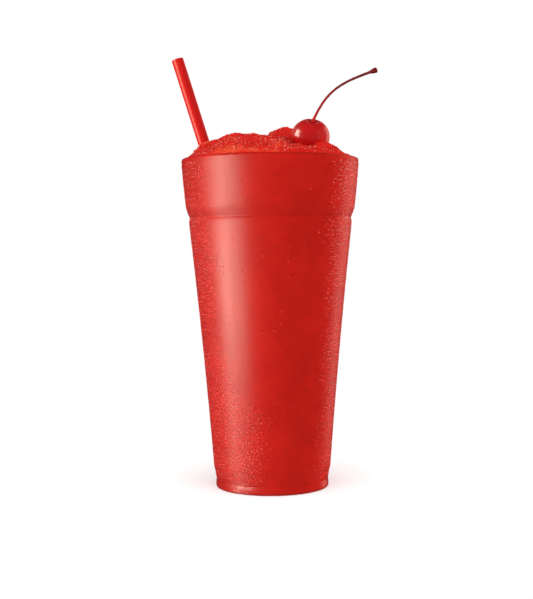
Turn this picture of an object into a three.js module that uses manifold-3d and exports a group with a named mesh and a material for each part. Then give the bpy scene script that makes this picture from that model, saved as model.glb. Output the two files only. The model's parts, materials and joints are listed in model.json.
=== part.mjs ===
// A frozen slush drink: a tall clear cup filled and heaped with slush, a straight straw
// standing in it, and a stemmed cherry resting on top.
//
// Millimetres, +Z up. The origin is on the cup's axis, in the plane that the cup stands on.
// The front of the drink faces -Y.

import * as THREE from 'three';
import { mergeVertices } from 'three/addons/utils/BufferGeometryUtils.js';
import Module from 'manifold-3d';

const wasm = await Module();
wasm.setup();

// ---------------------------------------------------------------- driving dimensions

const GAP = 0.3;                    // clearance between neighbouring pieces

// cup: one thin formed shell with a foot ring, a stacking groove and a rounded lip
const CUP_HEIGHT = 176.6;
const RIM_RADIUS = 47.5;            // outside of the lip
const FOOT_RADIUS = 30.45;          // outside of the foot ring
const WALL = 0.6;
const LIP_RADIUS = 1.3;             // half the thickness of the rounded lip
const LIP_UNDERSIDE = CUP_HEIGHT - 3 * LIP_RADIUS;
const BASE_RECESS = 2.0;            // how far the base is raised inside the foot ring
const RING_WIDTH = 4.6;             // the foot ring, from its inside to its outside
const RING_CORNER = 1.85;           // the rounding at the foot ring's bottom edges
const NOTCH_HEIGHT = 4.4;           // the small notch above the foot ring
const NOTCH_DEPTH = 0.12;
const FLARE_TOP = { radius: 31.5, height: 11.2 };       // the short flare above the foot
const BODY_MIDDLE = { radius: 36.4, height: 76 };       // pulls the body's sides in a little
const BODY_TOP = { radius: 43.6, height: 141 };         // the rounded edge below the groove
const GROOVE = { radius: 43.2, height: 145.1 };         // the stacking groove's deepest line
const SHOULDER = { radius: 45.3, height: 150.5 };       // where the wider top band begins
const BAND_MIDDLE = { radius: 46.7, height: 162.5 };

// slush
const MOUND_BASE = LIP_UNDERSIDE + 2 * GAP;
const MOUND_EDGE = 177.0;           // the mound's height along the lip
const MOUND_CROWN = 190.0;          // the plain dome's height on the axis
const MOUND_FULLNESS = 0.9;         // below 1 the dome has a flat top and steep sides
const LUMPS = [                     // scoops and dips on the dome: x, y, radius, height
  { x: -20, y: -4, radius: 10.5, height: 2.5 },   // left scoop beside the straw
  { x: -35.5, y: -10, radius: 5, height: 4 },     // small lump in front of the straw
  { x: -30, y: 6, radius: 9.5, height: 1.4 },     // lump behind the straw
  { x: -5, y: 2, radius: 11, height: -2.5 },      // saddle between the two scoops
  { x: 9, y: 6, radius: 9, height: 5.8 },         // tallest scoop, behind the cherry
  { x: -3, y: 24, radius: 12, height: 2.3 },      // back scoop
  { x: 22, y: -17, radius: 16.5, height: -7.5 },  // hollow that the cherry lies in
  { x: 29, y: -21, radius: 10, height: 7.5 },     // lump at the cherry's front
  { x: 39, y: 4, radius: 14, height: -7.5 },      // slope down to the lip on the right
];

// straw: a straight tube with square ends
const STRAW_RADIUS = 3.25;
const STRAW_WALL = 0.3;
const STRAW_LENGTH = 240;
const STRAW_FOOT = new THREE.Vector3(20.6, -6, 3.9);
const STRAW_LEAN = new THREE.Vector3(-71, 20, 228.8).normalize();

// cherry
const CHERRY_RADIUS = 10.1;
const CHERRY_HALF_HEIGHT = 9.2;
const CHERRY_CENTRE = new THREE.Vector3(21.5, -14, 187.2);
const CHERRY_TILT_FRONT = THREE.MathUtils.degToRad(25);   // the stem end leans to the front
const CHERRY_TILT_RIGHT = THREE.MathUtils.degToRad(7);
const DIMPLE_DEPTH = 2.2;
const DIMPLE_RADIUS = 2.6;

// stem
const STEM_RADIUS = 0.7;
const STEM_ROOT_RADIUS = 1.2;       // the swollen root that sits in the dimple
const STEM_TIP_RADIUS = 1.25;       // the knob where the stem left the tree
const STEM_TIP = new THREE.Vector3(54.2, -36, 218.1);
const STEM_RISE = new THREE.Vector3(6.9, -3.8, 15.4);  // from the root to the first bend
const STEM_REACH = new THREE.Vector3(-18.9, 11.4, -4.7);  // from the tip back to the last bend

// facets
const ROUND_STEPS = 48;             // around the cup and the slush
const SMALL_ROUND_STEPS = 28;       // around the straw and the cherry
const STEM_SIDES = 8;
const BALL_STEPS = 12;
const STEM_STEPS = 24;
const CURVE_STEPS = 3;              // along each curved stretch of an outline
const MOUND_ROWS = 12;
const CHERRY_ROWS = 20;
const LIP_STEPS = 7;
const MERGE_DISTANCE = 1e-4;

// ---------------------------------------------------------------- solids

const UP = new THREE.Vector3(0, 0, 1);
const LATHE_AXIS = new THREE.Vector3(0, 1, 0);

// The solid inside a closed three.js geometry.
function solidOf(geometry) {
  const bare = geometry.clone();
  bare.deleteAttribute('normal');
  bare.deleteAttribute('uv');
  const merged = mergeVertices(bare, MERGE_DISTANCE);
  const corners = merged.index.array;
  const triangles = [];
  for (let i = 0; i < corners.length; i += 3) {
    const [a, b, c] = [corners[i], corners[i + 1], corners[i + 2]];
    if (a !== b && b !== c && c !== a) triangles.push(a, b, c);
  }
  return new wasm.Manifold(new wasm.Mesh({
    numProp: 3,
    vertProperties: merged.attributes.position.array,
    triVerts: Uint32Array.from(triangles),
  }));
}

// The three.js geometry of a solid.
function geometryOf(solid) {
  const { vertProperties, triVerts } = solid.getMesh();
  const geometry = new THREE.BufferGeometry();
  geometry.setAttribute('position', new THREE.BufferAttribute(vertProperties, 3));
  geometry.setIndex(new THREE.BufferAttribute(triVerts, 1));
  geometry.computeVertexNormals();
  return geometry;
}

// An outline of radius and height, turned around the Z axis.
function turned(outline, steps) {
  return new THREE.LatheGeometry(outline, steps).rotateX(Math.PI / 2);
}

// An outline moved sideways by a distance, to its left as it is walked.
function offsetOutline(outline, distance) {
  return outline.map((point, i) => {
    const before = outline[Math.max(i - 1, 0)];
    const after = outline[Math.min(i + 1, outline.length - 1)];
    const into = i > 0 ? point.clone().sub(before) : after.clone().sub(point);
    const outOf = i < outline.length - 1 ? after.clone().sub(point) : into.clone();
    const leftIn = new THREE.Vector2(-into.y, into.x).normalize();
    const leftOut = new THREE.Vector2(-outOf.y, outOf.x).normalize();
    const side = leftIn.clone().add(leftOut).normalize();
    return point.clone().addScaledVector(side, distance / side.dot(leftIn));
  });
}

// ---------------------------------------------------------------- cup

// The cup's outside, from the middle of the base up to the lip.
function cupOutside() {
  const skin = new THREE.Path();
  const curveTo = (bend, end) => skin.quadraticCurveTo(bend.radius, bend.height, end.radius, end.height);
  const ringInside = FOOT_RADIUS - RING_WIDTH;
  const lipStart = { radius: RIM_RADIUS - 0.1, height: LIP_UNDERSIDE };

  // underside: the raised base, then the foot ring with its rounded edges
  skin.moveTo(0, BASE_RECESS);
  skin.lineTo(ringInside - 1.2, BASE_RECESS);
  skin.quadraticCurveTo(ringInside, BASE_RECESS, ringInside + 0.2, BASE_RECESS / 2);
  skin.quadraticCurveTo(ringInside + 0.4, 0, ringInside + 1.4, 0);
  skin.lineTo(FOOT_RADIUS - RING_CORNER, 0);
  skin.quadraticCurveTo(FOOT_RADIUS, 0, FOOT_RADIUS, RING_CORNER);

  // side: foot, notch, flare, body, groove, shoulder and top band
  skin.lineTo(FOOT_RADIUS, NOTCH_HEIGHT - 1.1);
  skin.quadraticCurveTo(FOOT_RADIUS - 2 * NOTCH_DEPTH, NOTCH_HEIGHT, FOOT_RADIUS, NOTCH_HEIGHT + 1.2);
  skin.quadraticCurveTo(FOOT_RADIUS + 0.4, FLARE_TOP.height - 2, FLARE_TOP.radius, FLARE_TOP.height);
  curveTo(BODY_MIDDLE, BODY_TOP);
  skin.quadraticCurveTo(BODY_TOP.radius + 0.2, GROOVE.height - 1.5, GROOVE.radius, GROOVE.height);
  skin.quadraticCurveTo(GROOVE.radius + 1.1, GROOVE.height + 1.9, SHOULDER.radius, SHOULDER.height);
  curveTo(BAND_MIDDLE, lipStart);
  skin.lineTo(RIM_RADIUS, CUP_HEIGHT - LIP_RADIUS);
  return skin.getPoints(CURVE_STEPS);
}

// The rounded lip: over the top and back down to the inside of the wall.
function lipOutline() {
  const lip = new THREE.Path();
  const centreRadius = RIM_RADIUS - LIP_RADIUS;
  const centreHeight = CUP_HEIGHT - LIP_RADIUS;
  lip.absarc(centreRadius, centreHeight, LIP_RADIUS, 0, Math.PI * 1.25, false);
  return lip.getPoints(LIP_STEPS).slice(1);
}

function makeCup() {
  const outside = cupOutside();
  const inside = offsetOutline(outside, WALL).filter((point) => point.y < LIP_UNDERSIDE);
  inside[0].x = 0;
  return turned([...outside, ...lipOutline(), ...inside.reverse()], ROUND_STEPS);
}

// ---------------------------------------------------------------- slush

// The mound's surface height: a full dome with rounded lumps and hollows on it.
function moundHeight(x, y) {
  const reach = Math.min(Math.hypot(x, y) / moundRadius(), 1);
  const rise = (MOUND_CROWN - MOUND_EDGE) * (1 - reach * reach) ** MOUND_FULLNESS;
  const fadeAtEdge = 1 - reach ** 6;
  const lumps = LUMPS.reduce((sum, lump) => {
    const away = Math.hypot(x - lump.x, y - lump.y) / lump.radius;
    return sum + lump.height * Math.exp(-away * away);
  }, 0);
  return Math.max(MOUND_EDGE + rise + lumps * fadeAtEdge, MOUND_EDGE);
}

function moundRadius() {
  return RIM_RADIUS - 2 * LIP_RADIUS - GAP;
}

// The straw's channel, a little wider than the straw and longer at both ends.
function strawChannel() {
  const overrun = 8;
  const length = STRAW_LENGTH + 2 * overrun;
  const channel = new THREE.CylinderGeometry(
    STRAW_RADIUS + GAP, STRAW_RADIUS + GAP, length, SMALL_ROUND_STEPS);
  channel.translate(0, length / 2 - overrun, 0);
  channel.applyQuaternion(strawTurn());
  channel.translate(STRAW_FOOT.x, STRAW_FOOT.y, STRAW_FOOT.z);
  return solidOf(channel);
}

// The room that the cherry needs to lie in the mound and to be lifted straight up.
function cherryNest() {
  const bowl = new THREE.SphereGeometry(1, SMALL_ROUND_STEPS, CHERRY_ROWS);
  bowl.rotateX(Math.PI / 2);
  bowl.scale(CHERRY_RADIUS + GAP, CHERRY_RADIUS + GAP, CHERRY_HALF_HEIGHT + GAP);
  bowl.applyQuaternion(cherryTurn());
  const shaftLength = 4 * CHERRY_RADIUS;
  const shaftRadius = CHERRY_RADIUS + GAP;
  const shaft = new THREE.CylinderGeometry(
    shaftRadius, shaftRadius, shaftLength, SMALL_ROUND_STEPS);
  shaft.rotateX(Math.PI / 2);
  shaft.translate(0, 0, shaftLength / 2);
  const nest = solidOf(bowl).add(solidOf(shaft));
  return nest.translate(CHERRY_CENTRE.toArray());
}

function makeSlushFill() {
  const outside = offsetOutline(cupOutside(), WALL + GAP);
  const sides = outside.filter((point) => point.y < LIP_UNDERSIDE);
  sides[0].x = 0;
  const topMiddle = new THREE.Vector2(0, sides[sides.length - 1].y);
  const fill = solidOf(turned([...sides, topMiddle], ROUND_STEPS));
  return geometryOf(fill.subtract(strawChannel()));
}

function makeSlushMound() {
  const radius = moundRadius();
  const outline = [new THREE.Vector2(0, MOUND_BASE), new THREE.Vector2(radius, MOUND_BASE)];
  for (let row = MOUND_ROWS; row >= 0; row -= 1) {
    outline.push(new THREE.Vector2((radius * row) / MOUND_ROWS, MOUND_CROWN));
  }
  const mound = turned(outline, ROUND_STEPS);
  const place = mound.attributes.position;
  for (let i = 0; i < place.count; i += 1) {
    const isTop = place.getZ(i) > MOUND_BASE + 1;
    if (isTop) place.setZ(i, moundHeight(place.getX(i), place.getY(i)));
  }
  return geometryOf(solidOf(mound).subtract(strawChannel()).subtract(cherryNest()));
}

// ---------------------------------------------------------------- straw

function strawTurn() {
  return new THREE.Quaternion().setFromUnitVectors(LATHE_AXIS, STRAW_LEAN);
}

function makeStraw() {
  const bore = STRAW_RADIUS - STRAW_WALL;
  const outline = [
    new THREE.Vector2(bore, 0),
    new THREE.Vector2(STRAW_RADIUS, 0),
    new THREE.Vector2(STRAW_RADIUS, STRAW_LENGTH),
    new THREE.Vector2(bore, STRAW_LENGTH),
    new THREE.Vector2(bore, 0),
  ];
  return new THREE.LatheGeometry(outline, SMALL_ROUND_STEPS);
}

// ---------------------------------------------------------------- cherry

function cherryTurn() {
  const stemEnd = new THREE.Vector3(
    Math.tan(CHERRY_TILT_RIGHT), -Math.tan(CHERRY_TILT_FRONT), 1).normalize();
  return new THREE.Quaternion().setFromUnitVectors(UP, stemEnd);
}

// The centre of the stem's root, at the bottom of the dimple.
function stemRoot() {
  const rise = CHERRY_HALF_HEIGHT - DIMPLE_DEPTH + STEM_ROOT_RADIUS / 2;
  return UP.clone().applyQuaternion(cherryTurn()).multiplyScalar(rise).add(CHERRY_CENTRE);
}

// The cherry about its own centre: an oblate ball with a dimple and the stem root's socket.
function makeCherry() {
  const outline = [];
  for (let row = 0; row <= CHERRY_ROWS; row += 1) {
    const angle = Math.PI * (row / CHERRY_ROWS - 0.5);
    const radius = row % CHERRY_ROWS === 0 ? 0 : CHERRY_RADIUS * Math.cos(angle);
    const spread = (radius / DIMPLE_RADIUS) ** 2;
    const dimple = angle > 0 ? DIMPLE_DEPTH * Math.exp(-spread) : 0;
    outline.push(new THREE.Vector2(radius, CHERRY_HALF_HEIGHT * Math.sin(angle) - dimple));
  }
  const fruit = solidOf(turned(outline, SMALL_ROUND_STEPS).applyQuaternion(cherryTurn()));
  const socket = new THREE.SphereGeometry(STEM_ROOT_RADIUS + GAP, BALL_STEPS, BALL_STEPS);
  const socketPlace = stemRoot().sub(CHERRY_CENTRE);
  return geometryOf(fruit.subtract(solidOf(socket).translate(socketPlace.toArray())));
}

// ---------------------------------------------------------------- stem

// The stem: it rises from its root and bends over to the right, ending in a knob.
function makeStem() {
  const root = stemRoot();
  const path = new THREE.CubicBezierCurve3(
    root,
    root.clone().add(STEM_RISE),
    STEM_TIP.clone().add(STEM_REACH),
    STEM_TIP,
  );
  const section = new THREE.Shape().absarc(0, 0, STEM_RADIUS, 0, 2 * Math.PI, false);
  const shaft = new THREE.ExtrudeGeometry(section, {
    steps: STEM_STEPS,
    curveSegments: STEM_SIDES,
    extrudePath: path,
    bevelEnabled: false,
  });
  const rootBall = new THREE.SphereGeometry(STEM_ROOT_RADIUS, BALL_STEPS, BALL_STEPS);
  const knob = new THREE.SphereGeometry(STEM_TIP_RADIUS, BALL_STEPS, BALL_STEPS);
  return geometryOf(solidOf(shaft)
    .add(solidOf(rootBall).translate(root.toArray()))
    .add(solidOf(knob).translate(STEM_TIP.toArray())));
}

// ---------------------------------------------------------------- the drink

function piece(name, geometry, look) {
  const mesh = new THREE.Mesh(geometry, new THREE.MeshStandardMaterial(look));
  mesh.name = name;
  return mesh;
}

const drink = new THREE.Group();

drink.add(piece('cup', makeCup(), {
  color: 0xf4f7f8, roughness: 0.12, metalness: 0, transparent: true, opacity: 0.35,
}));
drink.add(piece('slush_fill', makeSlushFill(), { color: 0xc8231d, roughness: 0.5, metalness: 0 }));
drink.add(piece('slush_mound', makeSlushMound(), { color: 0xd93a2c, roughness: 0.6, metalness: 0 }));

const straw = piece('straw', makeStraw(), { color: 0xdc1a1e, roughness: 0.25, metalness: 0 });
straw.position.copy(STRAW_FOOT);
straw.quaternion.copy(strawTurn());
drink.add(straw);

const cherry = piece('cherry', makeCherry(), { color: 0xb5121b, roughness: 0.12, metalness: 0 });
cherry.position.copy(CHERRY_CENTRE);
drink.add(cherry);

drink.add(piece('cherry_stem', makeStem(), { color: 0x8a1717, roughness: 0.3, metalness: 0 }));

export default drink;
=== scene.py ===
"""Looks of the frozen slush drink: a clear cup beaded with condensation, granular red slush,
a glossy straw and a stemmed cherry, on a pale floor in soft studio light.

Blender works in metres, and so do the camera, the floor and the lamps below. Dimensions of shapes
are in millimetres, in the frame's axes, and are turned into metres by MM where a mesh is made."""
import json
import math
import random

import bmesh
import bpy
import numpy as np
from mathutils import Matrix, Quaternion, Vector, noise

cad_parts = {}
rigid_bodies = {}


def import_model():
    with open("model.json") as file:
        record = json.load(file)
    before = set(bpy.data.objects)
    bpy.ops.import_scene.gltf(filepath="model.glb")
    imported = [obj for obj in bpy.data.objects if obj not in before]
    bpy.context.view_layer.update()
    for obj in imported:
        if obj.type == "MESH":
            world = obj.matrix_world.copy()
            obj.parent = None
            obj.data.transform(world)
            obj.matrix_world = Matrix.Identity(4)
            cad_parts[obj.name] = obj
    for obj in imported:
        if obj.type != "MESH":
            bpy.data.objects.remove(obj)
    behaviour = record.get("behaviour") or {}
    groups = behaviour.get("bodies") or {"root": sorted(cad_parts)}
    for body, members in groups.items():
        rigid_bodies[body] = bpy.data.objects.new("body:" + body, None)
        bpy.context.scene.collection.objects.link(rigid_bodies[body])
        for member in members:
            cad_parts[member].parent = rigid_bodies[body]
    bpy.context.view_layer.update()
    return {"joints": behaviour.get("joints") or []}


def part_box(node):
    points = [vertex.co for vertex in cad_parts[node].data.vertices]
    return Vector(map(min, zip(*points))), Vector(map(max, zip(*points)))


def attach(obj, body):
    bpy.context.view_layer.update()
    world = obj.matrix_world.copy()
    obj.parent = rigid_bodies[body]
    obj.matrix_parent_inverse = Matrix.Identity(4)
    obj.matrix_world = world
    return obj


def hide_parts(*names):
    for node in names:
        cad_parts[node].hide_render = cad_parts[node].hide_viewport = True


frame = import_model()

MM = 0.001

# ---------------------------------------------------------------- dimensions, in millimetres


def top_corner(cad_node):
    """The corner of a CAD node's box with the highest x, y and z."""
    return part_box(cad_node)[1] / MM


def joint(name):
    return next(j for j in frame["joints"] if j["name"] == name)


# The cup. A pair is the radius and the height of a point on its outside.
RIM_RADIUS = top_corner("cup").x
CUP_HEIGHT = top_corner("cup").z
WALL = 0.5
WETTED_SHARE = 0.6             # how deep in the wall the red lies, as a share of its thickness
LIP_RADIUS = 1.3
LIP_CENTRE = (RIM_RADIUS - LIP_RADIUS, CUP_HEIGHT - LIP_RADIUS)
LIP_UNDERSIDE = CUP_HEIGHT - 3 * LIP_RADIUS
FOOT_RADIUS = 30.45
BASE_RECESS = 2.0
RING_WIDTH = 4.6
RING_CORNER = 1.85
RING_FLOOR = 0.4               # how low the red reaches in the foot ring
NOTCH_HEIGHT = 4.4
NOTCH_DEPTH = 0.12
FLARE_TOP = (31.5, 11.2)
BODY_MIDDLE = (36.4, 76)
BODY_TOP = (43.6, 141)
GROOVE = (43.2, 145.1)
SHOULDER = (45.3, 150.5)
BAND_MIDDLE = (46.7, 162.5)

MOUND_RADIUS = top_corner("slush_mound").x
MOUND_BASE = CUP_HEIGHT - 1.4
MOUND_EDGE = 177.0
MOUND_CROWN = 190.0
MOUND_FULLNESS = 0.9
HOLE_DEPTH = 9                 # the straw's hole, when the straw is out
HOLE_GAP = 0.25
HOLLOW_GAP = 0.15              # between the cherry and its hollow
LUMPS = [                      # x, y, radius and height of each scoop or hollow
    (-20, -4, 10.5, 2.5),
    (-35.5, -10, 5, 4),
    (-30, 6, 9.5, 1.4),
    (-5, 2, 11, -2.5),
    (9, 6, 9, 5.8),
    (-3, 24, 12, 2.3),
    (22, -17, 16.5, -7.5),
    (29, -21, 10, 7.5),
    (39, 4, 14, -7.5),
]

STRAW_RADIUS = 3.25
STRAW_WALL = 0.3
STRAW_LENGTH = 240
STRAW_AXIS = Vector(joint("straw_lift")["axis"])
STRAW_FOOT = Vector((20.6, -6, 3.9))

CHERRY_RADIUS = 10.1
CHERRY_HALF_HEIGHT = 9.2
CHERRY_CENTRE = Vector((21.5, -14, 187.2))
DIMPLE_DEPTH = 2.2
DIMPLE_RADIUS = 2.6
SEAM_ANGLE = math.radians(100)
SEAM_DEPTH = 0.18
SEAM_WIDTH = 0.16              # in radians round the fruit
SKIN_UNEVEN = 0.12

STEM_RADIUS = 0.72
STEM_WAIST = 0.1               # how much thinner the middle is
ROOT_SWELL = 0.45
KNOB_SWELL = 0.62
KNOB_START = 0.93              # as a share of the stem's length
STEM_ROOT = Vector(joint("stem_sway")["pos_m"]) / MM
STEM_TIP = Vector((54.2, -36, 218.1))
STEM_RISE = Vector((6.9, -3.8, 15.4))        # from the root to the first bend
STEM_REACH = Vector((-18.9, 11.4, -4.7))     # from the tip back to the last bend

# ---------------------------------------------------------------- mesh helpers


def add_object(name, vertices, faces, material, smooth=True):
    """A mesh object from points in millimetres."""
    mesh = bpy.data.meshes.new(name)
    mesh.from_pydata([tuple(c * MM for c in v) for v in vertices], [], faces)
    mesh.validate()
    if smooth:
        mesh.shade_smooth()
    mesh.materials.append(material)
    ob = bpy.data.objects.new(name, mesh)
    bpy.context.scene.collection.objects.link(ob)
    return ob


def place(ob, body, slot, *replaced):
    """Put a piece on its body, and hide the CAD nodes it stands in for. The slot is not used."""
    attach(ob, body)
    if replaced:
        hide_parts(*replaced)


def turned(outline, segments, loop=False):
    """Vertices and faces of an outline of (radius, height), turned about Z. A loop's last point is
    joined to its first."""
    vertices, rings = [], []
    for radius, height in outline:
        count = 1 if radius < 1e-6 else segments
        rings.append([len(vertices) + k for k in range(count)])
        for k in range(count):
            angle = 2 * math.pi * k / segments
            vertices.append((radius * math.cos(angle), radius * math.sin(angle), height))
    faces = []
    following = rings[1:] + (rings[:1] if loop else [])
    for low, high in zip(rings, following):
        for k in range(segments):
            n = (k + 1) % segments
            corners = (low[k % len(low)], low[n % len(low)], high[n % len(high)], high[k % len(high)])
            corners = list(dict.fromkeys(corners))
            if len(corners) > 2:
                faces.append(corners)
    return vertices, faces


def curve(start, bend, end, steps):
    """Points along a quadratic curve, without its first one."""
    a, b, c = (np.array(p, float) for p in (start, bend, end))
    points = []
    for i in range(1, steps + 1):
        t = i / steps
        points.append(tuple((1 - t) ** 2 * a + 2 * t * (1 - t) * b + t * t * c))
    return points


def offset_outline(outline, distance):
    """The outline moved to its left by a distance. Its first point stays on the axis."""
    points = [np.array(p, float) for p in outline]
    moved = []
    for i, point in enumerate(points):
        into = point - points[i - 1] if i > 0 else points[1] - point
        out_of = points[i + 1] - point if i < len(points) - 1 else into
        left_in = np.array((-into[1], into[0])) / np.linalg.norm(into)
        left_out = np.array((-out_of[1], out_of[0])) / np.linalg.norm(out_of)
        side = left_in + left_out
        side /= np.linalg.norm(side)
        moved.append(tuple(point + side * distance / side.dot(left_in)))
    moved[0] = (0.0, moved[0][1])
    return moved


def face_outward(ob):
    """Turn the faces of a closed mesh outward."""
    bm = bmesh.new()
    bm.from_mesh(ob.data)
    bmesh.ops.recalc_face_normals(bm, faces=bm.faces)
    bm.to_mesh(ob.data)
    bm.free()


def scattered(name, templates, places, material, smooth):
    """One object of many small copies: places holds (template number, 4x4 matrix in mm)."""
    vertices, faces, first = [], [], 0
    for number, matrix in places:
        shape, sides = templates[number]
        spots = shape @ np.array(matrix.to_3x3()).T + np.array(matrix.translation)
        vertices.append(spots)
        faces += [[first + i for i in side] for side in sides]
        first += len(shape)
    return add_object(name, np.concatenate(vertices).tolist(), faces, material, smooth)


# ---------------------------------------------------------------- material helpers


def new_material(name, **settings):
    """A Principled material with plain values on the shader's own sockets."""
    material = bpy.data.materials.new(name)
    material.use_nodes = True
    shader = material.node_tree.nodes["Principled BSDF"]
    for key, value in settings.items():
        shader.inputs[key.replace("_", " ")].default_value = value
    return material, material.node_tree, shader


def node(tree, kind, **values):
    """A node, with each value put on its socket of that name or else on its own setting."""
    made = tree.nodes.new(kind)
    for key, value in values.items():
        if key in made.inputs:
            made.inputs[key].default_value = value
        else:
            setattr(made, key, value)
    return made


def object_coordinates(tree):
    return node(tree, "ShaderNodeTexCoord").outputs["Object"]


def object_height(tree):
    height = node(tree, "ShaderNodeSeparateXYZ")
    tree.links.new(object_coordinates(tree), height.inputs["Vector"])
    return height.outputs["Z"]


def noise_texture(tree, scale, detail=3.0, roughness=0.5):
    texture = node(tree, "ShaderNodeTexNoise", Scale=scale, Detail=detail, Roughness=roughness)
    tree.links.new(object_coordinates(tree), texture.inputs["Vector"])
    return texture.outputs["Fac"]


def cell_texture(tree, scale):
    texture = node(tree, "ShaderNodeTexVoronoi", Scale=scale)
    tree.links.new(object_coordinates(tree), texture.inputs["Vector"])
    return texture.outputs["Distance"]


def ramp(tree, source, stops):
    """A colour ramp: stops are (position, colour)."""
    made = node(tree, "ShaderNodeValToRGB")
    elements = made.color_ramp.elements
    while len(elements) < len(stops):
        elements.new(0.5)
    for element, (position, colour) in zip(elements, stops):
        element.position = position
        element.color = (*colour, 1)
    tree.links.new(source, made.inputs["Fac"])
    return made.outputs["Color"]


def spread(tree, source, low, high, from_low=0.0, from_high=1.0, **settings):
    """A value that goes from low to high as the source goes from from_low to from_high."""
    made = node(tree, "ShaderNodeMapRange", **settings)
    made.inputs["From Min"].default_value = from_low
    made.inputs["From Max"].default_value = from_high
    made.inputs["To Min"].default_value = low
    made.inputs["To Max"].default_value = high
    tree.links.new(source, made.inputs["Value"])
    return made.outputs["Result"]


def bump(tree, shader, source, distance_mm, strength=1.0):
    made = node(tree, "ShaderNodeBump", Strength=strength, Distance=distance_mm * MM)
    tree.links.new(source, made.inputs["Height"])
    tree.links.new(made.outputs["Normal"], shader.inputs["Normal"])


def let_lamps_through(tree, shader, tint):
    """Clear material: rays from lamps pass it as if it weren't there."""
    output = tree.nodes["Material Output"]
    clear = node(tree, "ShaderNodeBsdfTransparent", Color=tint)
    rays = node(tree, "ShaderNodeLightPath")
    mix = node(tree, "ShaderNodeMixShader")
    tree.links.new(rays.outputs["Is Shadow Ray"], mix.inputs["Fac"])
    tree.links.new(shader.outputs["BSDF"], mix.inputs[1])
    tree.links.new(clear.outputs["BSDF"], mix.inputs[2])
    tree.links.new(mix.outputs["Shader"], output.inputs["Surface"])


# ---------------------------------------------------------------- materials


def make_clear_plastic():
    """Clear plastic, fogged to a satin finish above the foot."""
    material, tree, shader = new_material(
        "clear_plastic", Base_Color=(1, 0.97, 0.96, 1), Transmission_Weight=1.0, IOR=1.5,
        Coat_Weight=1.0, Coat_IOR=1.7, Coat_Roughness=0.4)
    fogged = spread(tree, object_height(tree), 0.12, 0.33, NOTCH_HEIGHT * MM, (NOTCH_HEIGHT + 0.4) * MM)
    patchy = spread(tree, noise_texture(tree, 500, detail=4, roughness=0.7), -0.03, 0.05, 0.3, 0.7)
    roughness = node(tree, "ShaderNodeMath", operation="ADD")
    tree.links.new(fogged, roughness.inputs[0])
    tree.links.new(patchy, roughness.inputs[1])
    tree.links.new(roughness.outputs["Value"], shader.inputs["Roughness"])
    bump(tree, shader, cell_texture(tree, 1100), 0.03, 0.25)
    let_lamps_through(tree, shader, (0.98, 0.95, 0.95, 1))
    return material


def make_water():
    """Drops of condensation, mostly clear, with a painted red glow in them that stands in for the slush
    seen through each drop and the light the drop gathers.
    """
    material, tree, shader = new_material(
        "water_drops", Transmission_Weight=0.6, IOR=1.33, Roughness=0.22,
        Coat_Weight=1.0, Coat_IOR=1.6, Coat_Roughness=0.2)
    cloud = noise_texture(tree, 600, detail=2)
    # painted red glow, brighter than the slush behind: the slush seen through each drop and the light
    # it focuses
    tree.links.new(
        ramp(tree, cloud, [(0.35, (0.86, 0.04, 0.03)), (0.65, (0.96, 0.1, 0.08))]),
        shader.inputs["Base Color"])
    let_lamps_through(tree, shader, (1, 0.9, 0.9, 1))
    return material


def make_slush_red():
    """Slush behind the wall: where it wets the plastic it has no gloss of its own."""
    material, tree, shader = new_material("slush_red", Roughness=0.6, Specular_IOR_Level=0.0)
    patches = noise_texture(tree, 55, detail=4, roughness=0.6)
    tree.links.new(
        ramp(tree, patches, [(0.3, (0.44, 0.0085, 0.004)), (0.7, (0.52, 0.0125, 0.0065))]),
        shader.inputs["Base Color"])
    bump(tree, shader, noise_texture(tree, 700, detail=4), 0.2, 0.3)
    return material


def make_mound_red():
    """Packed grains of red ice, lighter and more orange in patches: a painted glow that stands in for
    light getting into them.
    """
    material, tree, shader = new_material(
        "mound_red", Roughness=0.3, Subsurface_Weight=0.3, Subsurface_Scale=3 * MM,
        Subsurface_Radius=(1.0, 0.2, 0.12), IOR=1.31)
    patches = noise_texture(tree, 60, detail=3, roughness=0.6)
    # the lighter orange patches are painted glow, placed by noise
    tree.links.new(
        ramp(tree, patches, [
            (0.35, (0.52, 0.008, 0.006)),
            (0.52, (0.59, 0.014, 0.009)),
            (0.68, (0.72, 0.085, 0.033)),
        ]),
        shader.inputs["Base Color"])
    bump(tree, shader, noise_texture(tree, 1000, detail=5, roughness=0.75), 0.4, 0.9)
    return material


def make_ice(name, shades, transmission, roughness):
    """Loose crystals: shades are the two ends of their mottled colour."""
    material, tree, shader = new_material(
        name, Transmission_Weight=transmission, IOR=1.31, Roughness=roughness)
    mottle = noise_texture(tree, 420, detail=2)
    tree.links.new(ramp(tree, mottle, shades), shader.inputs["Base Color"])
    return material


def make_straw_plastic():
    """Opaque red plastic, with faint streaks from being drawn into a tube."""
    material, tree, shader = new_material(
        "straw_plastic", IOR=1.5, Coat_Weight=0.3, Coat_Roughness=0.12)
    streaks = node(tree, "ShaderNodeMapping")
    streaks.inputs["Scale"].default_value = (900, 900, 20)
    tree.links.new(object_coordinates(tree), streaks.inputs["Vector"])
    grain = node(tree, "ShaderNodeTexNoise", Scale=1.0, Detail=2.0)
    tree.links.new(streaks.outputs["Vector"], grain.inputs["Vector"])
    tree.links.new(
        ramp(tree, grain.outputs["Fac"], [(0.3, (0.66, 0.007, 0.005)), (0.7, (0.76, 0.011, 0.008))]),
        shader.inputs["Base Color"])
    tree.links.new(spread(tree, grain.outputs["Fac"], 0.2, 0.3), shader.inputs["Roughness"])
    return material


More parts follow.
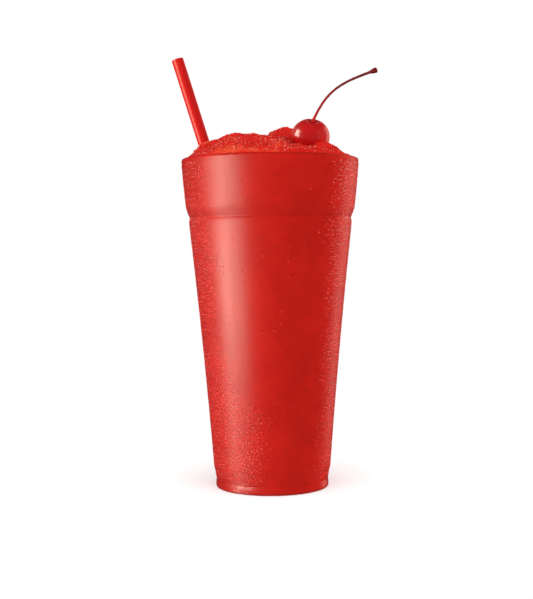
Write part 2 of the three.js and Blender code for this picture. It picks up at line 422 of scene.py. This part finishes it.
def make_cherry_skin():
    """Dark red skin under clear syrup, a little lighter in places."""
    material, tree, shader = new_material(
        "cherry_skin", Roughness=0.3, IOR=1.45, Coat_Weight=1.0, Coat_Roughness=0.17,
        Subsurface_Weight=0.2, Subsurface_Scale=2 * MM, Subsurface_Radius=(1.0, 0.12, 0.12))
    blush = noise_texture(tree, 110, detail=3, roughness=0.6)
    tree.links.new(
        ramp(tree, blush, [(0.3, (0.45, 0.003, 0.004)), (0.7, (0.56, 0.0055, 0.0075))]),
        shader.inputs["Base Color"])
    bump(tree, shader, noise_texture(tree, 260, detail=2), 0.15, 0.15)
    return material


def make_stem_skin():
    """Stained red at the root, and nearly brown at the tip."""
    material, tree, shader = new_material("stem_skin", Roughness=0.42, Specular_IOR_Level=0.15)
    along = spread(tree, object_height(tree), 0, 1, STEM_ROOT.z * MM, STEM_TIP.z * MM)
    mottle = noise_texture(tree, 900, detail=3)
    mixed = node(tree, "ShaderNodeMath", operation="MULTIPLY_ADD")
    tree.links.new(mottle, mixed.inputs[0])
    mixed.inputs[1].default_value = 0.3
    tree.links.new(along, mixed.inputs[2])
    tree.links.new(
        ramp(tree, mixed.outputs["Value"], [
            (0.12, (0.48, 0.012, 0.012)),
            (0.55, (0.34, 0.01, 0.008)),
            (1.0, (0.15, 0.006, 0.006)),
        ]),
        shader.inputs["Base Color"])
    bump(tree, shader, mottle, 0.12, 0.5)
    return material


# ---------------------------------------------------------------- camera, light, floor

CAMERA_PLACE = (0, -0.631, 0.126)
CAMERA_YAW = math.radians(-0.22)
CAMERA_PITCH = math.radians(-2.27)
CAMERA_ROLL = math.radians(-0.45)
CAMERA_LENS = 70.2
CAMERA_SENSOR = 36
ROOM_LIGHT = 0.42
ROOM_GLOSS = 0.035
FLOOR_RADIUS = 0.7
FLOOR_OPACITY = 0.75
FLOOR_FADE = (0.03, 0.24)      # where the floor starts to fade, and where it is gone


WHITE = (1, 1, 1)
WARM = (1, 0.9, 0.76)
AMBER = (1, 0.86, 0.62)
RED_GLOW = (1, 0.2, 0.17)
HIGHEST_AIM = 0.3              # a lamp above this height is tipped down to it

CUP_SKIN = ("cup_shell", "drops")
CUP = ("cup_shell", "drops", "slush_body")
HEAP = ("slush_heap", "ice")
TOP = (*HEAP, "straw", "cherry", "stem")


def make_camera():
    """The camera at the photo's angle. A positive yaw turns it right, and a positive roll raises its
    right side."""
    data = bpy.data.cameras.new("camera")
    data.sensor_width = CAMERA_SENSOR
    data.lens = CAMERA_LENS
    data.clip_start = 0.01
    camera = bpy.data.objects.new("camera", data)
    bpy.context.scene.collection.objects.link(camera)
    ahead = Vector((
        math.sin(CAMERA_YAW) * math.cos(CAMERA_PITCH),
        math.cos(CAMERA_YAW) * math.cos(CAMERA_PITCH),
        math.sin(CAMERA_PITCH)))
    level = Vector((math.cos(CAMERA_YAW), -math.sin(CAMERA_YAW), 0))
    right = Quaternion(ahead, -CAMERA_ROLL) @ level
    up = right.cross(ahead)
    turn = Matrix((right, up, -ahead)).transposed()
    camera.matrix_world = Matrix.Translation(CAMERA_PLACE) @ turn.to_4x4()
    bpy.context.scene.camera = camera


def add_lamp(kind, pieces, name, azimuth, distance, height, width, tall, radiance, colour=WARM):
    """An upright soft box at an azimuth measured from the front, positive to the right.
    A "gloss" lamp only shows in gloss, and a "matte" one only lights matte surfaces. It reaches the
    pieces whose names start with one of the given words. Its measures are in metres."""
    data = bpy.data.lights.new(name, "AREA")
    data.shape = "RECTANGLE"
    data.size = width
    data.size_y = tall
    data.energy = radiance * math.pi * width * tall
    data.color = colour
    lamp = bpy.data.objects.new(name, data)
    bpy.context.scene.collection.objects.link(lamp)
    angle = math.radians(azimuth)
    spot = Vector((distance * math.sin(angle), -distance * math.cos(angle), height))
    aim = Vector((0, 0, min(height, HIGHEST_AIM))) - spot
    lamp.matrix_world = Matrix.Translation(spot) @ aim.to_track_quat("-Z", "Y").to_matrix().to_4x4()
    lamp.visible_camera = False
    lamp.visible_glossy = kind == "gloss"
    lamp.visible_transmission = kind == "gloss"
    lamp.visible_diffuse = kind == "matte"
    reached = bpy.data.collections.new(name + "_reaches")
    for ob in bpy.context.scene.objects:
        if ob.name.startswith(pieces):
            reached.objects.link(ob)
    lamp.light_linking.receiver_collection = reached


def make_world():
    """White to the camera and through clear pieces, dim as light, and nearly black in gloss."""
    world = bpy.data.worlds.new("studio")
    world.use_nodes = True
    tree = world.node_tree
    background = tree.nodes["Background"]
    rays = node(tree, "ShaderNodeLightPath")
    seen = node(tree, "ShaderNodeMath", operation="MAXIMUM")
    tree.links.new(rays.outputs["Is Camera Ray"], seen.inputs[0])
    tree.links.new(rays.outputs["Is Transmission Ray"], seen.inputs[1])
    room = spread(tree, rays.outputs["Is Glossy Ray"], ROOM_LIGHT, ROOM_GLOSS)
    brightness = node(tree, "ShaderNodeMix", data_type="FLOAT")
    tree.links.new(seen.outputs["Value"], brightness.inputs["Factor"])
    tree.links.new(room, brightness.inputs["A"])
    brightness.inputs["B"].default_value = 1.0
    tree.links.new(brightness.outputs["Result"], background.inputs["Strength"])
    background.inputs["Color"].default_value = (1, 1, 1, 1)
    bpy.context.scene.world = world


def make_floor():
    """A pale round floor that fades into the white background."""
    bpy.ops.mesh.primitive_circle_add(vertices=96, radius=FLOOR_RADIUS, fill_type="NGON")
    floor = bpy.context.object
    floor.name = "floor"
    material, tree, shader = new_material(
        "pale_floor", Base_Color=(0.95, 0.95, 0.95, 1), Roughness=0.7, Specular_IOR_Level=0.1)
    distance = node(tree, "ShaderNodeVectorMath", operation="LENGTH")
    tree.links.new(object_coordinates(tree), distance.inputs[0])
    opacity = spread(
        tree, distance.outputs["Value"], FLOOR_OPACITY, 0.0, *FLOOR_FADE,
        interpolation_type="SMOOTHSTEP")
    tree.links.new(opacity, shader.inputs["Alpha"])
    floor.data.materials.append(material)
    floor.visible_glossy = False
    floor.visible_shadow = False


def light_cup():
    """The cup: a long soft highlight on the left, with a bright flank and foot, a faint one on the
    right, points of light in the drops at both sides, and even light on the red."""
    for azimuth, height, radiance in ((-84, 0.16, 0.9), (-66, 0.15, 4.5), (-48, 0.16, 2.3)):
        add_lamp("gloss", CUP_SKIN, f"cup_box_{-azimuth}", azimuth, 1.0, height, 0.28, 0.5, radiance)
    add_lamp("gloss", CUP_SKIN, "cup_box_high", -64, 1.0, 0.6, 0.28, 0.6, 0.7)
    add_lamp("gloss", CUP_SKIN, "cup_bounce", -80, 1.0, -0.95, 0.6, 0.7, 2.4)
    add_lamp("gloss", CUP_SKIN, "cup_foot", -76, 1.0, -0.2, 0.3, 0.12, 3.8)
    add_lamp("gloss", CUP_SKIN, "cup_near", -66, 0.2, 0.08, 0.05, 0.06, 2.6)
    add_lamp("gloss", CUP_SKIN, "cup_flank", -46, 0.2, 0.06, 0.06, 0.08, 1.2)
    add_lamp("gloss", CUP_SKIN, "cup_edge", 130, 1.0, 0.3, 0.42, 1.0, 0.4)
    add_lamp("gloss", "drops", "drops_left", -105, 1.0, 0.4, 0.4, 0.6, 6.0)
    add_lamp("gloss", "drops", "drops_right", 115, 1.0, 0.4, 0.3, 0.6, 6.0)
    for azimuth, radiance in ((-135, 3.0), (-75, 3.4), (-45, 3.7), (25, 1.7), (95, 5.6), (130, 4.5)):
        add_lamp("matte", CUP, f"cup_fill_{azimuth}", azimuth, 1.0, 0.35, 0.5, 1.0, radiance, WHITE)


def light_top():
    """The heap, straw and cherry: a key on the left, a window to shine in each, and a fill."""
    add_lamp("matte", TOP, "key", -60, 1.0, 0.365, 0.75, 1.07, 4.2)
    add_lamp("gloss", (*HEAP, "stem"), "key_gloss", -65, 1.0, 0.4, 0.62, 1.0, 3.0)
    add_lamp("gloss", "straw", "straw_gloss", -73, 1.0, 0.4, 0.62, 1.0, 3.9, AMBER)
    add_lamp("gloss", HEAP, "window", -102, 0.8, 0.45, 0.35, 0.7, 2.5)
    add_lamp("gloss", "cherry", "cherry_window", -90, 0.8, 0.3, 0.5, 0.95, 8.0)
    add_lamp("gloss", ("cherry", "ice"), "edge_strip", 125, 1.0, 0.35, 0.5, 0.9, 0.75)
    backed = ("slush_heap", "straw", "cherry", "stem")
    add_lamp("gloss", backed, "backdrop", 180, 1.2, 0.4, 3.4, 1.6, 0.6, RED_GLOW)
    add_lamp("matte", TOP, "edge_fill", 110, 1.0, 0.4, 0.8, 0.9, 2.0)
    add_lamp("matte", (*HEAP, "cherry", "stem"), "fill", 55, 1.2, 0.5, 1.0, 1.0, 3.5)


def light_from_above():
    """The floor has its own white light, so that it stays as pale as the background, and the heap and
    the straw get a little light on top."""
    add_lamp("matte", "floor", "floor_front", 0, 0.5, 0.2, 0.8, 0.3, 3.0, WHITE)
    add_lamp("matte", "floor", "floor_fill", 0, 0.15, 1.2, 0.9, 0.9, 6.0, WHITE)
    add_lamp("matte", (*HEAP, "straw"), "top", 0, 0.15, 1.2, 0.9, 0.9, 1.8)


def make_studio():
    """The camera, room, floor and lamps. It comes last, as lamps pick their pieces by name."""
    bpy.context.scene.view_settings.view_transform = "Standard"
    make_camera()
    make_world()
    make_floor()
    light_cup()
    light_top()
    light_from_above()


# ---------------------------------------------------------------- cup

CUP_SEGMENTS = 192


def cup_outside():
    """The cup's outside, from the middle of the base up to the lip."""
    inside_ring = FOOT_RADIUS - RING_WIDTH
    notch = (FOOT_RADIUS - 2 * NOTCH_DEPTH, NOTCH_HEIGHT)
    outline = [(0, BASE_RECESS), (inside_ring - 1.2, BASE_RECESS)]

    def bend_to(bend, end, steps):
        outline.extend(curve(outline[-1], bend, end, steps))

    # down into the foot ring, and round its outer corner
    bend_to((inside_ring, BASE_RECESS), (inside_ring + 0.2, BASE_RECESS / 2), 4)
    bend_to((inside_ring + 0.4, 0), (inside_ring + 1.4, 0), 4)
    outline.append((FOOT_RADIUS - RING_CORNER, 0))
    bend_to((FOOT_RADIUS, 0), (FOOT_RADIUS, RING_CORNER - 0.6), 8)
    # the notch, and the short flare above it
    bend_to((FOOT_RADIUS, NOTCH_HEIGHT - 1.1), notch, 8)
    bend_to((notch[0], NOTCH_HEIGHT + 0.7), (FOOT_RADIUS, NOTCH_HEIGHT + 1.2), 4)
    bend_to((FOOT_RADIUS + 0.4, FLARE_TOP[1] - 2), FLARE_TOP, 6)
    # the body, the groove, the shoulder and the top band
    bend_to(BODY_MIDDLE, BODY_TOP, 36)
    bend_to((BODY_TOP[0] + 0.2, GROOVE[1] - 1.5), GROOVE, 8)
    bend_to((GROOVE[0] + 1.1, GROOVE[1] + 1.9), SHOULDER, 8)
    bend_to(BAND_MIDDLE, (RIM_RADIUS - 0.1, LIP_UNDERSIDE), 12)
    outline.append((RIM_RADIUS, CUP_HEIGHT - LIP_RADIUS))
    return outline


def lip_point(radius, angle):
    """A point round the lip's centre, with its angle measured up from the outside."""
    return (LIP_CENTRE[0] + radius * math.cos(angle), LIP_CENTRE[1] + radius * math.sin(angle))


def lip_outline():
    """The rolled lip, from its outermost point over the top and down inside."""
    steps = 16
    return [lip_point(LIP_RADIUS, 1.25 * math.pi * i / steps) for i in range(1, steps + 1)]


def make_cup(material):
    """The clear shell: its outside, the rolled lip and back down its inside."""
    outside = cup_outside()
    inside = [p for p in offset_outline(outside, WALL) if p[1] < LIP_UNDERSIDE]
    vertices, faces = turned(outside + lip_outline() + inside[::-1], CUP_SEGMENTS)
    cup = add_object("cup_shell", vertices, faces, material)
    place(cup, "drink", "clear_plastic", "cup")


# ---------------------------------------------------------------- condensation

DRY_FRONT = 50                 # degrees from the front to the drops, on either side
LOW_SPREAD = 40                # how many degrees further the left drops reach, low on the cup
DROP_TRIES = 160000
DROP_SMALLEST = 0.37
DROP_RANGE = 0.3
DROP_SPACING = 1.3             # room round a drop, as a multiple of its radius
DROP_CELL = 1.7                # neighbours are looked up in cubes of this side
DROP_SLOPE = math.radians(30)  # how steeply a drop meets the wall
DROP_SINK = 0.12               # how deep its base is sunk, as a multiple of its radius
STRAY_COVER = 0.002            # a few stray drops on the dry front
DROPS_PER_PIECE = 3000


def smooth_step(low, high, value):
    t = min(max((value - low) / (high - low), 0), 1)
    return t * t * (3 - 2 * t)


def drop_cover(angle, height):
    """How much of the wall the drops cover, 0 to 1. The angle is from the front, positive right."""
    # the edges of the two wet sides wander, and the left one comes forward low on the cup
    wobble = 9 * noise.noise(Vector((angle / 30, height / 14, 7.7)))
    left_limit = -DRY_FRONT + LOW_SPREAD * (1 - smooth_step(32, 78, height)) + wobble
    right_limit = DRY_FRONT + wobble
    left = 1 - smooth_step(left_limit - 16, left_limit + 12, angle)
    right = smooth_step(right_limit - 10, right_limit + 22, angle)
    # the left of the top band has fewer, and the fewest near the lip
    band = smooth_step(134, 142, height) * (1 - smooth_step(-60, -20, angle))
    clustered = 0.25 + 0.5 * (1 - smooth_step(150, 160, height))
    left *= 1 - band * (1 - clustered)
    # the back has half as many, all lie in patches, and the foot has none
    behind = 1 - 0.5 * smooth_step(95, 115, abs(angle))
    patches = 0.8 + 0.5 * noise.noise(Vector((angle / 20, height / 18, 3.1)))
    above_foot = smooth_step(5.5, 9, height)
    return (max(left, right) + STRAY_COVER) * above_foot * patches * behind


def drop_shape(rings, segments):
    """A drop of unit radius: a low spherical cap standing along +Z, with its base sunk a little."""
    side = []
    for ring in range(rings + 1):
        slope = DROP_SLOPE * (1 - ring / rings)
        rise = math.cos(slope) - math.cos(DROP_SLOPE)
        side.append((math.sin(slope) / math.sin(DROP_SLOPE), rise / math.sin(DROP_SLOPE)))
    vertices, faces = turned([(0, -DROP_SINK), (0.9, -DROP_SINK)] + side, segments)
    return np.array(vertices, float), faces


def neighbours(taken, cell):
    """The drops in a cell and in the cells that touch it."""
    near = (-1, 0, 1)
    return [drop for dx in near for dy in near for dz in near
            for drop in taken.get((cell[0] + dx, cell[1] + dy, cell[2] + dz), [])]


def make_condensation(material):
    """Drops tried at random, and kept where the wall is wet and no other drop is in the way."""
    rng = random.Random(11)
    wall = np.array([p for p in cup_outside() if p[1] > 2 and p[0] > FOOT_RADIUS - 0.5])
    taken = {}
    places = []
    step = 0.3
    for _ in range(DROP_TRIES):
        height = rng.uniform(5, CUP_HEIGHT - 3)
        angle = rng.uniform(-180, 180)
        chance = rng.random()
        size = DROP_SMALLEST + DROP_RANGE * rng.random() ** 1.5
        turn = rng.uniform(0, 2 * math.pi)
        stretch = rng.uniform(0.85, 1.2)
        radius, above, below = np.interp((height, height + step, height - step), wall[:, 1], wall[:, 0])
        cover = drop_cover(angle, height)
        if rng.random() > radius / RIM_RADIUS or chance > cover:
            continue
        size *= 0.75 + 0.25 * smooth_step(0, 0.7, cover)
        around = math.radians(angle) - math.pi / 2
        spot = (radius * math.cos(around), radius * math.sin(around), height)
        cell = tuple(int(c // DROP_CELL) for c in spot)
        near = neighbours(taken, cell)
        if any(math.dist(spot, other) < DROP_SPACING * (size + its_size) for other, its_size in near):
            continue
        taken.setdefault(cell, []).append((spot, size))
        normal = Vector((2 * step, 0, below - above))
        stand = Vector((0, 0, 1)).rotation_difference(normal).to_matrix().to_4x4()
        shape = Matrix.Rotation(turn, 4, "Z") @ Matrix.Diagonal((size, size * stretch, size, 1))
        spin = Matrix.Rotation(around, 4, "Z")
        places.append((0, spin @ Matrix.Translation((radius, 0, height)) @ stand @ shape))
    shapes = [drop_shape(3, 8)]
    for number in range(math.ceil(len(places) / DROPS_PER_PIECE)):
        first = number * DROPS_PER_PIECE
        some = places[first:first + DROPS_PER_PIECE]
        drops = scattered(f"drops_{number + 1}", shapes, some, material, smooth=True)
        place(drops, "drink", "clear_plastic")


# ---------------------------------------------------------------- slush


def make_fill(material):
    """The slush inside the cup. It wets the wall, so its side lies within the wall's thickness."""
    sides = []
    for radius, height in offset_outline(cup_outside(), WALL * WETTED_SHARE):
        if radius > FOOT_RADIUS - RING_WIDTH - 1:
            height = max(height, RING_FLOOR)
        if height < LIP_UNDERSIDE:
            sides.append((radius, height))
    # and on up inside the rolled lip
    for degrees in (225, 200, 180, 160, 140, 120):
        sides.append(lip_point(LIP_RADIUS - 0.2, math.radians(degrees)))
    vertices, faces = turned(sides + [(0, sides[-1][1])], CUP_SEGMENTS)
    fill = add_object("slush_body", vertices, faces, material)
    place(fill, "drink", "red_slush", "slush_fill")


def mound_height(x, y):
    """The mound's smooth surface: a full dome with rounded lumps and hollows on it."""
    reach = min(math.hypot(x, y) / MOUND_RADIUS, 1)
    rise = (MOUND_CROWN - MOUND_EDGE) * (1 - reach * reach) ** MOUND_FULLNESS
    lumps = sum(h * math.exp(-((x - lx) ** 2 + (y - ly) ** 2) / r ** 2) for lx, ly, r, h in LUMPS)
    return max(MOUND_EDGE + rise + lumps * (1 - reach ** 6), MOUND_EDGE)


def mound_normal(x, y):
    step = 0.4
    along_x = mound_height(x + step, y) - mound_height(x - step, y)
    along_y = mound_height(x, y + step) - mound_height(x, y - step)
    return Vector((-along_x, -along_y, 2 * step)).normalized()


def grains(spot):
    """Packed grains at two sizes on broad clumps, in millimetres of rise."""
    clumps = noise.noise(spot * 0.16) * 1.3 + noise.noise(spot * 0.4) * 0.5
    coarse = noise.voronoi(spot * 0.42)[0][0]
    fine = noise.voronoi(spot * 0.95)[0][0]
    return clumps + 0.45 * (0.5 - coarse) + 0.34 * (0.5 - fine)


def straw_reach(spot):
    """How far a point is from the straw's axis."""
    away = spot - STRAW_FOOT
    return (away - STRAW_AXIS * away.dot(STRAW_AXIS)).length


def cherry_underside(x, y):
    """Height of the cherry's lower half over a point, or None beside it."""
    reach = math.hypot(x - CHERRY_CENTRE.x, y - CHERRY_CENTRE.y) / CHERRY_RADIUS
    if reach >= 1:
        return None
    return CHERRY_CENTRE.z - CHERRY_HALF_HEIGHT * math.sqrt(1 - reach * reach)


def mound_point(x, y):
    """A point of the grainy surface, with the straw's hole and the cherry's hollow pressed in."""
    smooth = Vector((x, y, mound_height(x, y)))
    edge = math.hypot(x, y) / MOUND_RADIUS
    loose = 1 - smooth_step(0.93, 1.0, edge)
    spot = smooth + mound_normal(x, y) * grains(smooth) * loose
    if straw_reach(spot) < STRAW_RADIUS + HOLE_GAP:
        spot -= STRAW_AXIS * HOLE_DEPTH
    underside = cherry_underside(spot.x, spot.y)
    if underside is not None:
        spot.z = min(spot.z, underside - HOLLOW_GAP)
    return spot


def disc_grid(count):
    """Evenly spread points of a unit disc on a square grid, row by row."""
    points = []
    for i in range(count + 1):
        for j in range(count + 1):
            u, v = 2 * i / count - 1, 2 * j / count - 1
            if abs(u) > abs(v):
                radius, angle = u, math.pi / 4 * v / u
            elif v != 0:
                radius, angle = v, math.pi / 2 - math.pi / 4 * u / v
            else:
                radius, angle = 0, 0
            points.append((radius * math.cos(angle), radius * math.sin(angle)))
    return points


def make_mound(material):
    """The heap: a grid over its top, a skirt from the grid's rim down to its base, and the base."""
    count = 220
    row = count + 1
    vertices = [mound_point(MOUND_RADIUS * x, MOUND_RADIUS * y) for x, y in disc_grid(count)]
    faces = [(i * row + j, (i + 1) * row + j, (i + 1) * row + j + 1, i * row + j + 1)
             for i in range(count) for j in range(count)]
    rim = list(range(row))
    rim += [i * row + count for i in range(1, row)]
    rim += [count * row + j for j in range(count - 1, -1, -1)]
    rim += [i * row for i in range(count - 1, 0, -1)]
    first = len(vertices)
    vertices += [Vector((vertices[k].x, vertices[k].y, MOUND_BASE)) for k in rim]
    for k in range(len(rim)):
        n = (k + 1) % len(rim)
        faces.append((rim[k], rim[n], first + n, first + k))
    faces.append([first + k for k in range(len(rim))])
    mound = add_object("slush_heap", vertices, faces, material)
    face_outward(mound)
    place(mound, "drink", "red_slush", "slush_mound")


# ---------------------------------------------------------------- loose crystals

CRYSTAL_TRIES = 9000
CRYSTAL_SHAPES = 14
CRYSTAL_CORNERS = 9
CRYSTAL_SMALLEST = 0.24
CRYSTAL_RANGE = 0.36
CRYSTAL_REACH = 0.985          # how far out they lie, as a share of the heap's radius
CRYSTAL_RISE = 0.25            # how far a middle stands out of the heap, as a multiple of its size
CLEAR_SHARE = 0.18             # the share of crystals that are clear, and not red


def gaussians(rng, count):
    return [rng.gauss(0, 1) for _ in range(count)]


def crystal_shapes(rng):
    """Small angular ice crystals of about unit size."""
    shapes = []
    for _ in range(CRYSTAL_SHAPES):
        bm = bmesh.new()
        stretch = Vector((1, rng.uniform(0.7, 1), rng.uniform(0.5, 0.9)))
        for _ in range(CRYSTAL_CORNERS):
            spot = Vector(gaussians(rng, 3)).normalized()
            bm.verts.new(spot * rng.uniform(0.75, 1) * stretch)
        bmesh.ops.convex_hull(bm, input=bm.verts)
        loose = [v for v in bm.verts if not v.link_faces]
        bmesh.ops.delete(bm, geom=loose, context="VERTS")
        bmesh.ops.recalc_face_normals(bm, faces=bm.faces)
        bm.verts.index_update()
        corners = np.array([v.co for v in bm.verts])
        shapes.append((corners, [[v.index for v in f.verts] for f in bm.faces]))
        bm.free()
    return shapes


def make_crystals(clear, red):
    """Crystals strewn over the heap in drifts, more of them near its edge, and none where the straw
    and the cherry are."""
    rng = random.Random(5)
    shapes = crystal_shapes(rng)
    clear_places, red_places = [], []
    for _ in range(CRYSTAL_TRIES):
        reach = MOUND_RADIUS * math.sqrt(rng.random()) * CRYSTAL_REACH
        angle = rng.uniform(0, 2 * math.pi)
        size = CRYSTAL_SMALLEST + CRYSTAL_RANGE * rng.random() ** 2
        shape = rng.randrange(len(shapes))
        turn = Quaternion(gaussians(rng, 4)).normalized()
        clearness = rng.random()
        x, y = reach * math.cos(angle), reach * math.sin(angle)
        spot = mound_point(x, y)
        if straw_reach(spot) < STRAW_RADIUS + size:
            continue
        underside = cherry_underside(spot.x, spot.y)
        if underside is not None and underside < spot.z + size + 0.3:
            continue
        drifts = noise.noise(Vector((x, y, 2.5)) * 0.13)
        frosty = drifts + 0.35 * smooth_step(0.75, 0.95, reach / MOUND_RADIUS)
        chance = 0.55 + 1.4 * frosty
        if rng.random() > chance:
            continue
        spot += mound_normal(x, y) * size * CRYSTAL_RISE
        matrix = Matrix.Translation(spot) @ turn.to_matrix().to_4x4() @ Matrix.Scale(size, 4)
        kept = clear_places if clearness < CLEAR_SHARE else red_places
        kept.append((shape, matrix))
    for name, places, material in (("ice_clear", clear_places, clear), ("ice_red", red_places, red)):
        crystals = scattered(name, shapes, places, material, smooth=False)
        place(crystals, "drink", "red_slush")


# ---------------------------------------------------------------- straw


def make_straw(material):
    """A straight tube with slightly rounded ends."""
    rounding = STRAW_WALL / 2
    steps = 6
    rows = 12

    def round_end(height, start_angle):
        points = []
        for i in range(steps + 1):
            angle = start_angle + math.pi * i / steps
            radius = STRAW_RADIUS - rounding + rounding * math.cos(angle)
            points.append((radius, height + rounding * math.sin(angle)))
        return points

    outside = [(STRAW_RADIUS, STRAW_LENGTH * k / rows) for k in range(1, rows)]
    bore = [(STRAW_RADIUS - STRAW_WALL, height) for _, height in reversed(outside)]
    bottom = round_end(rounding, math.pi)
    top = round_end(STRAW_LENGTH - rounding, 0)
    vertices, faces = turned(bottom + outside + top + bore, 64, loop=True)
    lean = Vector((0, 0, 1)).rotation_difference(STRAW_AXIS)
    vertices = [STRAW_FOOT + lean @ Vector(v) for v in vertices]
    straw = add_object("straw_tube", vertices, faces, material)
    place(straw, "straw", "red_plastic", "straw")


# ---------------------------------------------------------------- cherry


def make_cherry(material):
    """An oblate fruit with a dimple, a faint seam down one side and slightly uneven skin."""
    rows, segments = 72, 96
    outline = []
    for row in range(rows + 1):
        angle = math.pi * (row / rows - 0.5)
        radius = CHERRY_RADIUS * math.cos(angle) if 0 < row < rows else 0
        dimple = DIMPLE_DEPTH * math.exp(-(radius / DIMPLE_RADIUS) ** 2) if angle > 0 else 0
        outline.append((radius, CHERRY_HALF_HEIGHT * math.sin(angle) - dimple))
    vertices, faces = turned(outline, segments)
    axis = (STEM_ROOT - CHERRY_CENTRE).normalized()
    turn = Vector((0, 0, 1)).rotation_difference(axis)
    shaped = []
    for x, y, z in vertices:
        spot = Vector((x, y, z))
        around = math.atan2(y, x)
        off_seam = (around - SEAM_ANGLE + math.pi) % (2 * math.pi) - math.pi
        groove = SEAM_DEPTH * math.exp(-(off_seam / SEAM_WIDTH) ** 2)
        uneven = SKIN_UNEVEN * noise.noise(spot * 0.13)
        spot *= 1 + (uneven - groove) / CHERRY_RADIUS
        shaped.append(CHERRY_CENTRE + turn @ spot)
    cherry = add_object("cherry_fruit", shaped, faces, material)
    place(cherry, "cherry", "cherry_skin", "cherry")


# ---------------------------------------------------------------- stem


def stem_point(t):
    """A point of the stem's middle line, from its root at 0 to its tip at 1."""
    a, d = STEM_ROOT, STEM_TIP
    b, c = a + STEM_RISE, d + STEM_REACH
    return (1 - t) ** 3 * a + 3 * t * (1 - t) ** 2 * b + 3 * t * t * (1 - t) * c + t ** 3 * d


def stem_direction(t):
    step = 0.01
    return (stem_point(min(t + step, 1)) - stem_point(max(t - step, 0))).normalized()


def stem_radius(t):
    """Thick where it joins the fruit, thin in the middle, swollen into a knob at the tip."""
    root = ROOT_SWELL * math.exp(-((t / 0.035) ** 2))
    knob = KNOB_SWELL * smooth_step(KNOB_START, 0.985, t)
    return STEM_RADIUS + root - STEM_WAIST * math.sin(math.pi * t) + knob


def make_stem(material):
    """Rings of points along the middle line, closed by a low point at each end."""
    steps, sides = 90, 20
    vertices, faces = [], []
    side_way = Vector((0, 1, 0))
    for i in range(steps + 1):
        t = i / steps
        along = stem_direction(t)
        across = along.cross(side_way).normalized()
        upward = across.cross(along)
        spot = stem_point(t)
        for k in range(sides):
            angle = 2 * math.pi * k / sides
            way = across * math.cos(angle) + upward * math.sin(angle)
            rough = 1 + 0.1 * noise.noise((spot + way) * 0.9)
            if t > KNOB_START:
                rough += 0.16 * noise.noise(way * 2.3)
            vertices.append(spot + way * stem_radius(t) * rough)
    for i in range(steps):
        for k in range(sides):
            n = (k + 1) % sides
            faces.append((i * sides + k, i * sides + n, (i + 1) * sides + n, (i + 1) * sides + k))
    for ring, shift in ((0, -0.5), (steps, 0.45)):
        t = ring / steps
        end = len(vertices)
        vertices.append(stem_point(t) + stem_direction(t) * shift)
        first = ring * sides
        for k in range(sides):
            n = (k + 1) % sides
            faces.append((first + k, first + n, end))
    stem = add_object("stem_twig", vertices, faces, material)
    face_outward(stem)
    place(stem, "stem", "stem_skin", "cherry_stem")


# ---------------------------------------------------------------- the drink

make_cup(make_clear_plastic())
make_condensation(make_water())
make_fill(make_slush_red())
make_mound(make_mound_red())
make_crystals(
    make_ice("ice_clear", [(0.3, (0.92, 0.22, 0.17)), (0.7, (1, 0.54, 0.46))], 0.2, 0.15),
    make_ice("ice_red", [(0.3, (0.58, 0.011, 0.008)), (0.7, (0.72, 0.05, 0.03))], 0.1, 0.3))
make_straw(make_straw_plastic())
make_cherry(make_cherry_skin())
make_stem(make_stem_skin())
make_studio()
